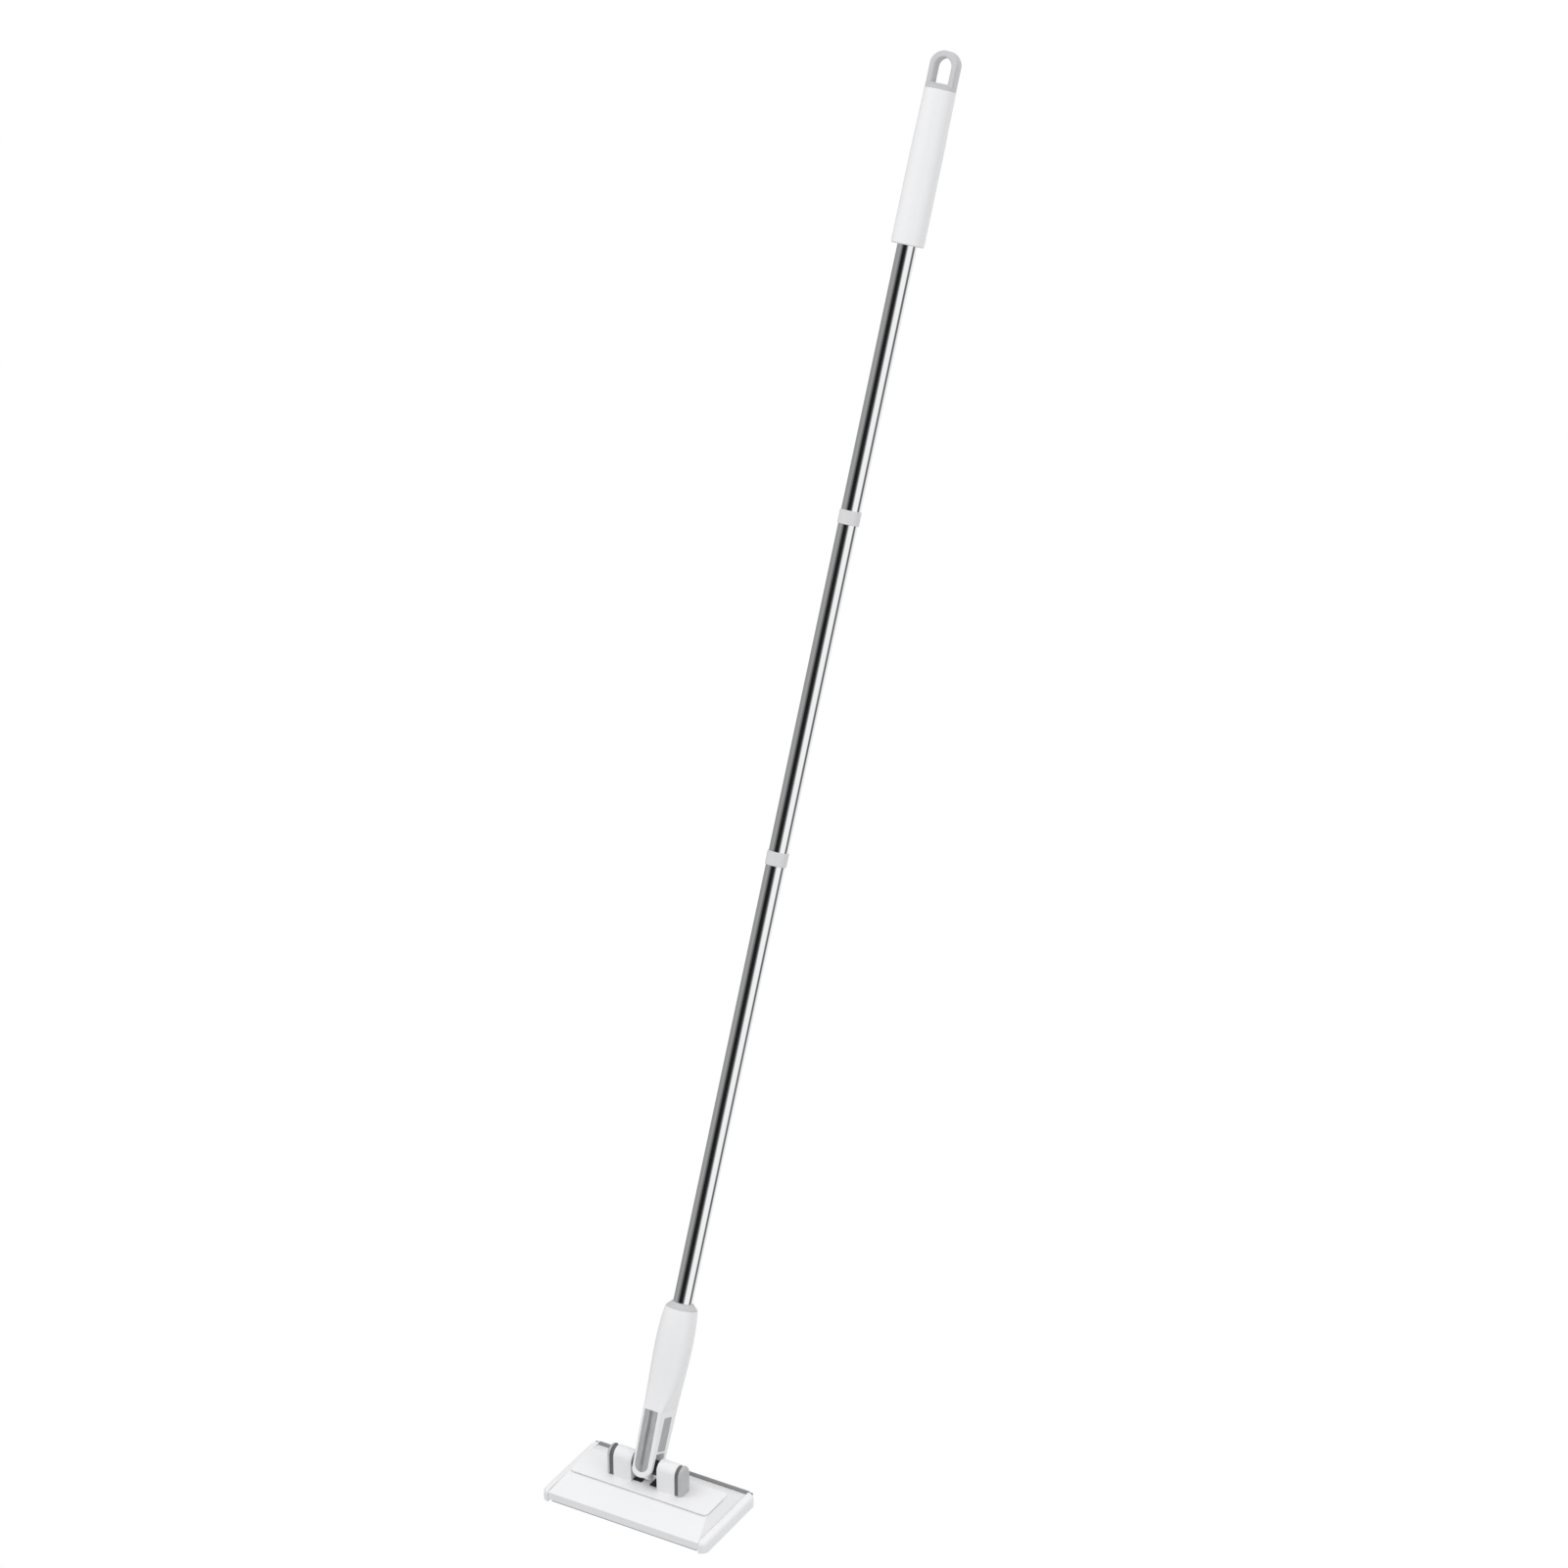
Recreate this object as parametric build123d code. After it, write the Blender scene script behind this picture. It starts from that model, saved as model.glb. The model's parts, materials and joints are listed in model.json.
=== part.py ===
from build123d import *
import math
import os

os.makedirs("parts", exist_ok=True)

# Millimetres. The origin is the middle of the sole, on the floor. X runs along the head, +Y is the
# back of the head, where the pole leans at rest, and +Z is up.
# The pole pieces are drawn in the pole frame: its origin is the crossing of the two pivot pins, its
# Z runs up the pole, and pole_frame puts it in place.

# ---------------------------------------------------------------- driving dimensions: head
head_length = 184.0
head_width = 98.0
head_corner_r = 8.0
end_block_length = 7.7
end_block_bottom = 0.6
end_block_top = 13.0
end_block_edge_r = 4.5
end_gap = 0.3

cloth_thickness = 1.2
cloth_end_margin = 2.3
cloth_tuck = 6.2
cloth_gap = 0.1
pad_thickness = 2.6
pad_end_margin = 0.8
plate_thickness = 2.2
plate_front_inset = 3.4
plate_rear_inset = 4.2
wall_thickness = 1.8
front_wall_top = 9.2
rear_wall_top = 8.0
stiffener_count = 5
stiffener_top = 8.6
latch_spacing = 100.0
latch_length = 14.0
latch_bite = 1.9
latch_bottom = 7.7
latch_top_drop = 0.3
latch_root = 0.5
latch_play = 0.5
latch_recess = 0.6

cover_wall = 2.0
cover_front_inset = 0.5
skirt_wall = 1.2
cover_rear_inset = 5.2
cover_edge_z = 11.5
cover_seat_z = 22.0
cover_seat_margin = 0.3
cover_edge_r = 0.8
skirt_bottom = 3.4

hinge_y = 46.7
hinge_z = 11.2
hinge_rod_r = 2.25
hinge_pin_r = 1.5
hinge_pin_length = 4.5
rail_bottom = 9.0
rail_top = 10.8
rail_wall = 1.9

panel_length = 154.0
panel_width = 42.0
panel_thickness = 2.5
panel_corner_r = 5.0
panel_edge_r = 0.8
panel_gap_height = 1.2
panel_gap_depth = 1.8
panel_gap_end_y = 11.0
peg_r = 2.0
peg_spacing_x = 132.0
peg_spacing_y = 26.0

# ---------------------------------------------------------------- driving dimensions: joint
pivot_z = 43.0
lean_angle = 24.4

block_gap = 28.6
block_length = 20.0
block_depth = 17.6
block_arch_rise = 2.4
block_edge_r = 0.6
cap_neck = 4.0
cap_neck_inset = 0.9
cap_length = 3.8
cap_round_r = 3.4

tilt_pin_r = 3.0
tilt_pin_end_gap = 1.5
spacer_r = 7.2
swivel_pin_r = 2.7
swivel_pin_inner = 3.7
running_fit = 0.05
end_play = 0.15

knuckle_width = 10.5
knuckle_leg_gap = 0.3
knuckle_drop = 5.6

bumper_inner = 4.5
bumper_front = -5.5
bumper_back = 12.0
bumper_thickness = 0.7

block_screw_r = 1.5
block_screw_head_r = 2.8
block_screw_head = 1.8
block_screw_bite = 10.0
block_screw_spacing = 10.0
block_screw_slot_half = 0.42
block_screw_slot_depth = 0.72

# ---------------------------------------------------------------- driving dimensions: yoke
yoke_width = 21.0
yoke_depth = 29.0
yoke_depth_above = 35.0
yoke_corner_r = 3.0
yoke_slot = 16.4
roof_middle_z = 10.8
roof_flat_half = 5.2
roof_side_z = 14.5
yoke_square_top = 57.0
yoke_swell_z = 104.0
yoke_swell_r = 17.8
yoke_shoulder_z = 146.0
yoke_shoulder_r = 17.1
yoke_top = 157.0
yoke_top_r = 15.8
yoke_round_flat = 0.2
socket_floor = 88.0
yoke_peg_r = 2.0
yoke_peg_length = 4.0
yoke_peg_places = (30.0, 76.0)
socket_r = 13.2

inlay_pocket = 1.5
inlay_thickness = 1.2
inlay_gap = 0.1
inlay_groove_width = 1.8
inlay_groove_depth = 0.5
front_inlay_width = 14.2
front_inlay_bottom = -5.0
front_inlay_top = 56.5
side_inlay_width = 15.0
side_inlay_bottom = 16.5
side_inlay_top = 50.5
side_inlay_corner_r = 1.5

# ---------------------------------------------------------------- driving dimensions: pole
tube_r = 9.5
tube_wall = 0.8
holder_floor = 4.0
holder_top = 148.0
collar_flange_r = 14.9
collar_flange = 1.0
collar_top_r = 10.6
collar_height = 5.6

lower_ring_z = 600.0
upper_ring_z = 931.0
ring_width = 13.6
ring_r = 10.5
ring_edge_r = 0.8
insert_length = 28.0
stud_r = 5.0
stud_length = 24.0

grip_bottom = 1192.0
grip_length = 148.0
grip_r = 15.9
grip_top_r = 15.2
grip_straight = 90.0
grip_wall = 2.6
grip_recess = 6.0
grip_bottom_edge_r = 1.8
grip_top_edge_r = 0.8
core_wall_top = 12.0
plug_length = 18.0

loop_disc = 3.0
loop_disc_r = 15.0
loop_width = 29.4
loop_thickness = 12.0
loop_height = 36.5
loop_slot_width = 17.4
loop_slot_length = 24.4
loop_slot_bottom = 5.6
loop_edge_r = 1.6
loop_plug_length = 9.0
loop_screw_r = 1.6
loop_screw_head_r = 3.2
loop_screw_head = 1.8
loop_screw_bite = 14.0
loop_screw_slot_half = 0.48
loop_screw_slot_depth = 0.9
assembly_gap = 0.1

# Cutters and overlaps run past a face by the margin, and edges that near a face are left square.
margin = 1.0

# ---------------------------------------------------------------- derived places
half_length = head_length / 2
half_width = head_width / 2
cover_half = half_length - end_block_length - end_gap
plate_bottom = cloth_thickness + pad_thickness
plate_top = plate_bottom + plate_thickness
plate_front = -half_width + plate_front_inset
plate_rear = half_width - plate_rear_inset
cover_front = -half_width + cover_front_inset
cover_rear = half_width - cover_rear_inset
skirt_inside = cover_front + skirt_wall
cover_inside_z = cover_seat_z - cover_wall
panel_top = cover_seat_z + panel_thickness
block_inner = block_gap / 2
block_outer = block_inner + block_length
block_r = block_depth / 2
block_arch_z = pivot_z + block_arch_rise
block_middle = (block_inner + block_outer) / 2
cap_end = block_outer + cap_neck + cap_length
knuckle_half = knuckle_width / 2
knuckle_r = yoke_slot / 2 - knuckle_leg_gap
leg_inner = yoke_slot / 2
side_seat = yoke_width / 2 - inlay_pocket
yoke_flare = math.degrees(math.atan2((yoke_depth_above - yoke_depth) / 2, yoke_square_top))
swivel_pin_outer = yoke_depth / 2 - inlay_pocket - 2 * assembly_gap
tube_bottom = socket_floor + holder_floor
grip_top = grip_bottom + grip_length
tube_top = grip_top - core_wall_top
tube_bore_r = tube_r - tube_wall
collar_top = yoke_top + collar_height
grip_bore_r = grip_top_r - grip_wall

pole_frame = Location((0, 0, pivot_z), (-lean_angle, 0, 0))
front_face = Location((0, -yoke_depth / 2, 0), (yoke_flare, 0, 0))


# ---------------------------------------------------------------- helpers
def box(x0, x1, y0, y1, z0, z1):
    """A block given by its low and high faces."""
    middle = Location(((x0 + x1) / 2, (y0 + y1) / 2, (z0 + z1) / 2))
    return middle * Box(x1 - x0, y1 - y0, z1 - z0)


def rod_x(r, x0, x1, y=0.0, z=0.0):
    """A round bar along X."""
    return Location(((x0 + x1) / 2, y, z), (0, 90, 0)) * Cylinder(r, x1 - x0)


def rod_y(r, y0, y1, x=0.0, z=0.0):
    """A round bar along Y."""
    return Location((x, (y0 + y1) / 2, z), (90, 0, 0)) * Cylinder(r, y1 - y0)


def rod_z(r, z0, z1, x=0.0, y=0.0):
    """A round bar along Z."""
    return Location((x, y, (z0 + z1) / 2)) * Cylinder(r, z1 - z0)


def slab(length, width, corner_r, z0, z1, y=0.0):
    """A plate with rounded corners, seen from above."""
    outline = Location((0, y, z0)) * RectangleRounded(length, width, corner_r)
    return extrude(outline, amount=z1 - z0)


def turned(profile):
    """A body of revolution about Z from a closed list of (radius, z) points."""
    outline = make_face(Polyline([(r, 0, z) for r, z in profile] + [(profile[0][0], 0, profile[0][1])]))
    return revolve(outline, Axis.Z)


def mirrored(shape):
    """The same piece on the other end of the head."""
    return mirror(shape, about=Plane.YZ)


def save(name, shape):
    """Write one sub-part to its own file."""
    export_step(shape, f"parts/{name}.step")


def save_pole(name, shape):
    """Write a sub-part that is drawn in the pole frame."""
    save(name, pole_frame * shape)


def group(*shapes):
    """Separate solids that share one node."""
    return Compound(children=[solid for shape in shapes for solid in shape.solids()])


# ---------------------------------------------------------------- base: tray, pad and cloth
def latch_places():
    """The two snap nibs on the front wall, as x."""
    return (-latch_spacing / 2, latch_spacing / 2)


def make_base_tray():
    """The bottom plate with its two raised ends, which the cover closes between."""
    body = slab(head_length, head_width, head_corner_r, end_block_bottom, end_block_top)
    top_edges = body.faces().sort_by(Axis.Z)[-1].edges()
    body = fillet(top_edges, end_block_edge_r)
    inner_face = cover_half + end_gap
    body -= box(-inner_face, inner_face, -half_width - margin, half_width + margin, 0, end_block_top + margin)
    overlap = inner_face + margin
    body += box(-overlap, overlap, plate_front, plate_rear, plate_bottom, plate_top)
    body += box(-overlap, overlap, plate_front, plate_front + wall_thickness, plate_top, front_wall_top)
    body += box(-overlap, overlap, plate_rear - wall_thickness, plate_rear, plate_top, rear_wall_top)
    pitch = 2 * inner_face / (stiffener_count + 1)
    for index in range(stiffener_count):
        x = -inner_face + pitch * (index + 1)
        half = wall_thickness / 2
        body += box(x - half, x + half, plate_front, plate_rear - wall_thickness, plate_top, stiffener_top)
    for x in latch_places():
        body += box(x - latch_length / 2, x + latch_length / 2, plate_front - latch_bite,
                    plate_front + latch_root, latch_bottom, front_wall_top - latch_top_drop)
    pin_end = cover_half + hinge_pin_length + assembly_gap
    body -= rod_x(hinge_pin_r + running_fit, -pin_end, pin_end, hinge_y, hinge_z)
    return body


def make_sole_pad():
    """The foam sheet under the tray, which backs the cloth."""
    half = cover_half + end_gap - pad_end_margin
    return box(-half, half, plate_front, plate_rear, cloth_thickness, plate_bottom)


def make_wipe_cloth():
    """The cloth under the pad, with both long edges turned up beside the tray."""
    half = cover_half + end_gap - cloth_end_margin
    front = plate_front - cloth_gap
    rear = plate_rear + cloth_gap
    sheet = box(-half, half, front - cloth_thickness, rear + cloth_thickness, 0, cloth_thickness)
    tuck_top = cloth_thickness + cloth_tuck
    sheet += box(-half, half, front - cloth_thickness, front, 0, tuck_top)
    sheet += box(-half, half, rear, rear + cloth_thickness, 0, tuck_top)
    return sheet


# ---------------------------------------------------------------- cover: shell, rod and panel
def roof(inset, bottom):
    """The hipped body of the cover down to a height, taken in by a wall on every side."""
    edge = cover_edge_z - inset
    ridge = cover_seat_z - inset
    half = cover_half - inset
    front = cover_front + inset
    rear = cover_rear - inset
    seat_x = panel_length / 2 + cover_seat_margin - inset / 2
    seat_y = panel_width / 2 + cover_seat_margin - inset / 2
    across = Polyline((0, front, bottom), (0, front, edge), (0, -seat_y, ridge), (0, seat_y, ridge),
                      (0, rear, edge), (0, rear, bottom), (0, front, bottom))
    along = Polyline((-half, 0, bottom), (-half, 0, edge), (-seat_x, 0, ridge), (seat_x, 0, ridge),
                     (half, 0, edge), (half, 0, bottom), (-half, 0, bottom))
    lengthwise = extrude(make_face(across), amount=half_length, both=True)
    return lengthwise & extrude(make_face(along), amount=half_width, both=True)


def block_screw_places():
    """The screws that hold the bearing blocks, as (x, y)."""
    half = block_screw_spacing / 2
    return [(side * (block_middle + shift), 0.0) for side in (-1, 1) for shift in (-half, half)]


def peg_places():
    """The pegs that place the panel on the cover, as (x, y)."""
    return [(sx * peg_spacing_x / 2, sy * peg_spacing_y / 2) for sx in (-1, 1) for sy in (-1, 1)]


def make_top_cover():
    """The hinged cover: roof, front skirt, end edges and the rail that holds the hinge rod."""
    shell = roof(0.0, cover_edge_z - cover_wall)
    shell = fillet(shell.faces().sort_by(Axis.Z)[-1].edges(), cover_edge_r)
    shell += box(-cover_half, cover_half, cover_front, skirt_inside, skirt_bottom, cover_edge_z - margin)
    shell -= roof(cover_wall, 0.0)
    rail_front = hinge_y - hinge_rod_r - rail_wall
    shell += box(-cover_half, cover_half, rail_front, hinge_y, rail_bottom, rail_top)
    shell -= rod_x(hinge_rod_r, -cover_half - margin, cover_half + margin, hinge_y, hinge_z)
    for x in latch_places():
        half = latch_length / 2 + latch_play
        shell -= box(x - half, x + half, skirt_inside - latch_recess, skirt_inside + latch_play,
                     latch_bottom - latch_play, cover_edge_z - cover_wall)
    for x, y in block_screw_places():
        shell -= rod_z(block_screw_r + assembly_gap, cover_inside_z - margin, cover_seat_z + margin, x, y)
    for x, y in peg_places():
        shell -= rod_z(peg_r, cover_inside_z - margin, cover_seat_z + margin, x, y)
    return shell


def make_hinge_rod():
    """The rod along the back edge, fixed in the cover and turning in the tray's two ends."""
    rod = rod_x(hinge_rod_r, -cover_half, cover_half, hinge_y, hinge_z)
    pin_end = cover_half + hinge_pin_length
    return rod + rod_x(hinge_pin_r, -pin_end, pin_end, hinge_y, hinge_z)


def make_centre_panel():
    """The raised panel on the cover, with four pegs and the holes for the block screws."""
    panel = slab(panel_length, panel_width, panel_corner_r, cover_seat_z, panel_top)
    panel = fillet(panel.faces().sort_by(Axis.Z)[-1].edges(), panel_edge_r)
    plinth_half = panel_length / 2 - panel_gap_depth
    plinth = box(-plinth_half, plinth_half, -panel_width / 2 + panel_gap_depth, panel_width / 2,
                 cover_seat_z, cover_seat_z + panel_gap_height)
    plinth += box(-half_length, half_length, panel_gap_end_y, panel_width / 2, cover_seat_z,
                  cover_seat_z + panel_gap_height)
    under = box(-half_length, half_length, -half_width, half_width, cover_seat_z - margin,
                cover_seat_z + panel_gap_height)
    panel -= under - plinth
    for x, y in block_screw_places():
        panel -= rod_z(block_screw_r + assembly_gap, cover_seat_z - margin, panel_top + margin, x, y)
    for x, y in peg_places():
        panel += rod_z(peg_r, cover_inside_z, cover_seat_z + margin, x, y)
    return panel


# ---------------------------------------------------------------- bearing blocks on the panel
def block_profile(inset, x0, x1):
    """The flat-sided, round-topped shape of the blocks, from x0 to x1."""
    upright = box(x0, x1, -block_r + inset, block_r - inset, panel_top, block_arch_z)
    return upright + rod_x(block_r - inset, x0, x1, 0, block_arch_z)


def make_bearing_block():
    """The right block, bored for the tilt pin and drilled from below for two screws."""
    block = block_profile(0.0, block_inner, block_outer)
    end_faces = block.faces().filter_by(Axis.X)
    upper_edges = end_faces.edges().filter_by(lambda edge: edge.center().Z > panel_top + margin)
    block = fillet(upper_edges, block_edge_r)
    block -= rod_x(tilt_pin_r, block_inner - margin, block_outer + margin, 0, pivot_z)
    for x, y in block_screw_places():
        if x > 0:
            depth = panel_top + block_screw_bite + assembly_gap
            block -= rod_z(block_screw_r, panel_top - margin, depth, x, y)
    return block


def make_block_end_cap():
    """The right end cap: a rounded body on a narrower neck, plugged into the pin bore."""
    shell_start = block_outer + cap_neck
    cap = block_profile(0.0, shell_start, cap_end)
    outer_face = cap.faces().sort_by(Axis.X)[-1]
    round_edges = outer_face.edges().filter_by(lambda edge: edge.center().Z > panel_top + margin)
    cap = fillet(round_edges, cap_round_r)
    cap += block_profile(cap_neck_inset, block_outer, shell_start + margin)
    plug_start = block_outer - tilt_pin_end_gap + assembly_gap
    return cap + rod_x(tilt_pin_r, plug_start, block_outer + margin, 0, pivot_z)


def make_bumper_pads():
    """Two thin rubber pads on the panel, under the yoke's feet and beside the blocks."""
    pad = box(bumper_inner, block_inner - end_gap, bumper_front, bumper_back,
              panel_top, panel_top + bumper_thickness)
    return group(pad, mirrored(pad))


def make_block_screws():
    """Four screws from inside the cover, through the panel, into the blocks."""
    screws = []
    for x, y in block_screw_places():
        head_z = cover_inside_z - block_screw_head
        screw = rod_z(block_screw_head_r, head_z, cover_inside_z, x, y)
        screw += rod_z(block_screw_r, cover_inside_z, panel_top + block_screw_bite, x, y)
        screw -= box(x - block_screw_slot_half, x + block_screw_slot_half, y - block_screw_head_r,
                     y + block_screw_head_r, head_z - margin, head_z + block_screw_slot_depth)
        screws.append(screw)
    return group(*screws)


def make_tilt_pin():
    """The pin along X, fixed in both blocks, on which the knuckle tilts."""
    end = block_outer - tilt_pin_end_gap
    return rod_x(tilt_pin_r, -end, end, 0, pivot_z)


def make_pin_spacers():
    """Two bushes on the pin that centre the knuckle between the blocks."""
    start = knuckle_half + end_play
    bush = rod_x(spacer_r, start, block_inner, 0, pivot_z)
    bush -= rod_x(tilt_pin_r, start - margin, block_inner + margin, 0, pivot_z)
    return group(bush, mirrored(bush))


# ---------------------------------------------------------------- knuckle, in the pole frame
def make_knuckle():
    """The cross piece between the legs: it turns on the tilt pin and carries the swivel pins."""
    body = rod_x(knuckle_r, -knuckle_half, knuckle_half)
    body += rod_x(knuckle_r, -knuckle_half, knuckle_half, 0, -knuckle_drop)
    body += box(-knuckle_half, knuckle_half, -knuckle_r, knuckle_r, -knuckle_drop, 0)
    body -= rod_x(tilt_pin_r + running_fit, -knuckle_half - margin, knuckle_half + margin)
    return body - rod_y(swivel_pin_r + running_fit, -knuckle_r - margin, knuckle_r + margin)


def make_swivel_pins():
    """Two short pins along Y, fixed in the legs, on which the yoke swings."""
    back = rod_y(swivel_pin_r, swivel_pin_inner, swivel_pin_outer)
    return group(back, mirror(back, about=Plane.XZ))


# ---------------------------------------------------------------- yoke, in the pole frame
def front_inlay_outline(grow):
    """The long outline of the front and back inlays, round at its foot, on XZ."""
    half = front_inlay_width / 2 + grow
    top = front_inlay_top + grow
    round_z = front_inlay_bottom + front_inlay_width / 2
    with BuildSketch(Plane.XZ) as sketch:
        with Locations((0, (round_z + top) / 2)):
            Rectangle(2 * half, top - round_z)
        with Locations((0, round_z)):
            Circle(half)
    return sketch.sketch


def side_inlay_outline(grow):
    """The outline of the side inlays, on YZ."""
    height = side_inlay_top - side_inlay_bottom + 2 * grow
    middle = (side_inlay_top + side_inlay_bottom) / 2
    with BuildSketch(Plane.YZ) as sketch:
        with Locations((0, middle)):
            RectangleRounded(side_inlay_width + 2 * grow, height, side_inlay_corner_r + grow)
    return sketch.sketch


def front_inlay_body(grow, inner, outer):
    """The front inlay's body between two depths under the flared front face."""
    outline = front_inlay_outline(grow)
    return front_face * Location((0, inner, 0)) * extrude(outline, amount=inner - outer)


def side_inlay_body(grow, depth0, depth1):
    """The right side inlay's body between two depths."""
    outline = side_inlay_outline(grow)
    return Location((depth0, 0, 0)) * extrude(outline, amount=depth1 - depth0)


def yoke_section(z, width, depth, corner_r):
    """One cross-section of the yoke's outside."""
    return Location((0, 0, z)) * RectangleRounded(width, depth, corner_r)


def yoke_round(z, r):
    """One round cross-section, written as a rounded square so that the loft keeps its edges."""
    return yoke_section(z, 2 * r, 2 * r, r - yoke_round_flat)


def make_yoke():
    """The whole white yoke: a round sleeve at the pole's foot that turns into a two-legged fork."""
    leg_r = yoke_width / 2
    body = loft([
        yoke_section(yoke_square_top, yoke_width, yoke_depth_above, yoke_corner_r),
        yoke_round(yoke_swell_z, yoke_swell_r), yoke_round(yoke_shoulder_z, yoke_shoulder_r),
        yoke_round(yoke_top, yoke_top_r)])
    legs = loft([
        yoke_section(-yoke_square_top, yoke_width, 2 * yoke_depth - yoke_depth_above, yoke_corner_r),
        yoke_section(yoke_square_top, yoke_width, yoke_depth_above, yoke_corner_r)])
    reach = yoke_depth_above
    body += legs & box(-reach, reach, -reach, reach, 0, yoke_square_top)
    body += legs & rod_y(leg_r, -reach, reach)
    slot_half = leg_r + margin
    roof_outline = Polyline(
        (-slot_half, 0, -slot_half), (slot_half, 0, -slot_half), (slot_half, 0, roof_side_z),
        (leg_r, 0, roof_side_z), (roof_flat_half, 0, roof_middle_z), (-roof_flat_half, 0, roof_middle_z),
        (-leg_r, 0, roof_side_z), (-slot_half, 0, roof_side_z), (-slot_half, 0, -slot_half))
    body -= extrude(make_face(roof_outline), amount=leg_inner, both=True)
    body -= rod_z(socket_r, socket_floor, yoke_top + margin)
    body -= rod_y(swivel_pin_r, -yoke_depth, yoke_depth)
    pocket = front_inlay_body(inlay_gap, inlay_pocket, -yoke_depth)
    body -= pocket
    body -= mirror(pocket, about=Plane.XZ)
    pocket = side_inlay_body(inlay_gap, side_seat, yoke_width)
    body -= pocket
    return body - mirrored(pocket)


def make_yoke_halves():
    """The yoke is two mouldings that meet down its middle on pegs; the left one has the holes."""
    yoke = make_yoke()
    reach = yoke_depth
    right = yoke & box(0, reach, -reach, reach, -reach, yoke_top + margin)
    left = mirrored(right)
    for z in yoke_peg_places:
        right += rod_x(yoke_peg_r, -yoke_peg_length, margin, z=z)
        left -= rod_x(yoke_peg_r + running_fit, -yoke_peg_length - assembly_gap, margin, z=z)
    return left, right


def make_front_inlay():
    """The grey strip let into the front leg, with a groove down its middle."""
    face = inlay_pocket - inlay_thickness
    strip = front_inlay_body(0.0, inlay_pocket, face)
    groove_low = front_inlay_bottom + front_inlay_width / 2
    groove = box(-inlay_groove_width / 2, inlay_groove_width / 2, 0, face + inlay_groove_depth,
                 groove_low, front_inlay_top)
    groove = front_face * groove
    return strip - groove


def make_side_inlay():
    """The grey strip let into the right side of the yoke."""
    return side_inlay_body(0.0, side_seat, side_seat + inlay_thickness)


# ---------------------------------------------------------------- pole, in the pole frame
def make_tube_holder():
    """The bush in the yoke's socket that takes the foot of the pole."""
    body = rod_z(socket_r, socket_floor, holder_top)
    return body - rod_z(tube_r, socket_floor + holder_floor, holder_top + margin)


def make_pole_collar():
    """The tapered collar that closes the top of the yoke round the tube."""
    flange_top = yoke_top + collar_flange
    return turned([
        (tube_r, holder_top), (socket_r, holder_top), (socket_r, yoke_top), (collar_flange_r, yoke_top),
        (collar_flange_r, flange_top), (collar_top_r, collar_top), (tube_r, collar_top)])


def make_tube(z0, z1):
    """One section of the pole."""
    return rod_z(tube_r, z0, z1) - rod_z(tube_bore_r, z0 - margin, z1 + margin)


def make_coupler_socket(ring_z):
    """The ring at a coupling, with its insert in the tube below and its threaded bore."""
    low = ring_z - ring_width / 2
    high = ring_z + ring_width / 2
    ring = rod_z(ring_r, low, high)
    ring = fillet(ring.edges().filter_by(GeomType.CIRCLE), ring_edge_r)
    ring += rod_z(tube_bore_r - running_fit, low - insert_length, low + margin)
    return ring - rod_z(stud_r + running_fit, high - stud_length - assembly_gap, high + margin)


def make_coupler_stud(ring_z):
    """The insert in the foot of the tube above, with the threaded stud below it."""
    high = ring_z + ring_width / 2
    stud = rod_z(stud_r, high - stud_length, high)
    return stud + rod_z(tube_bore_r - running_fit, high, high + insert_length)


def make_grip():
    """The hollow hand grip: straight for most of its length and a little slimmer at its head."""
    straight_top = grip_bottom + grip_straight
    body = turned([(0, grip_bottom), (grip_r, grip_bottom), (grip_r, straight_top), (grip_top_r, grip_top),
                   (0, grip_top)])
    rims = body.edges().filter_by(GeomType.CIRCLE).sort_by(Axis.Z)
    body = fillet(rims[0], grip_bottom_edge_r)
    rims = body.edges().filter_by(GeomType.CIRCLE).sort_by(Axis.Z)
    body = fillet(rims[-1], grip_top_edge_r)
    return body - rod_z(grip_bore_r, grip_bottom - margin, grip_top + margin)


def make_grip_core():
    """The bush inside the grip, which holds it on the tube and stops short of the grip's foot."""
    core_bottom = grip_bottom + grip_recess
    core_top = grip_top - loop_plug_length - assembly_gap
    body = rod_z(grip_bore_r, core_bottom, core_top)
    return body - rod_z(tube_r, core_bottom - margin, core_top + margin)


def make_top_plug():
    """The plug in the head of the upper tube, which the loop's screw bites into."""
    body = rod_z(tube_bore_r, tube_top - plug_length, tube_top)
    return body - rod_z(loop_screw_r, tube_top - loop_screw_bite, tube_top + margin)


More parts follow.
